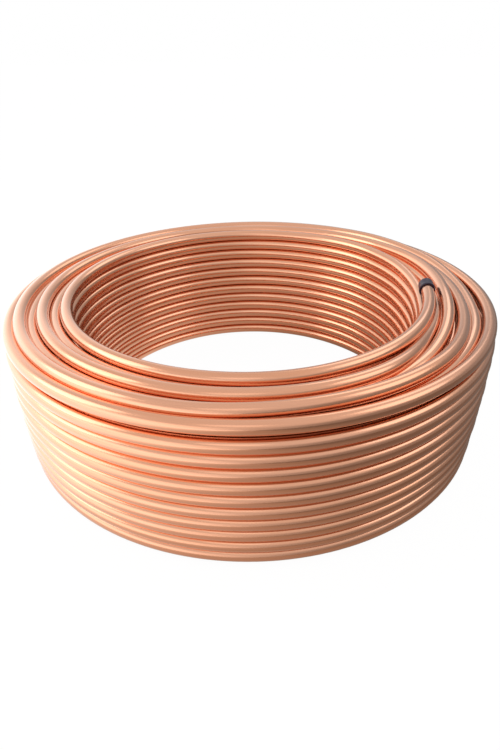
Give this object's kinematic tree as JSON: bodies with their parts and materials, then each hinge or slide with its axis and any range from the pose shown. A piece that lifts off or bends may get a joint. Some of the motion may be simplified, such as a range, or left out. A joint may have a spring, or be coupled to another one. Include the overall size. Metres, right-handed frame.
{
  "type": "copper tube coil",
  "caption": "Coil of soft round copper tube wound level in nested layers around an open bore, lying on its end face, with its free inner end closed by a plastic cap.",
  "frame": {"origin": "centre of the coil on the floor, under its lowest turns", "axes": "+Z along the coil's axis, up from the floor; +X to the capped inner end; the tube is wound counter-clockwise seen from above"},
  "size_m": [0.5076, 0.5075, 0.1621],
  "materials": {
    "copper": "bright annealed copper, drawn",
    "cap": "moulded soft plastic, dark"
  },
  "bodies": {
    "root": {"copper_tube": "copper", "end_cap": "cap"}
  },
  "joints": []
}
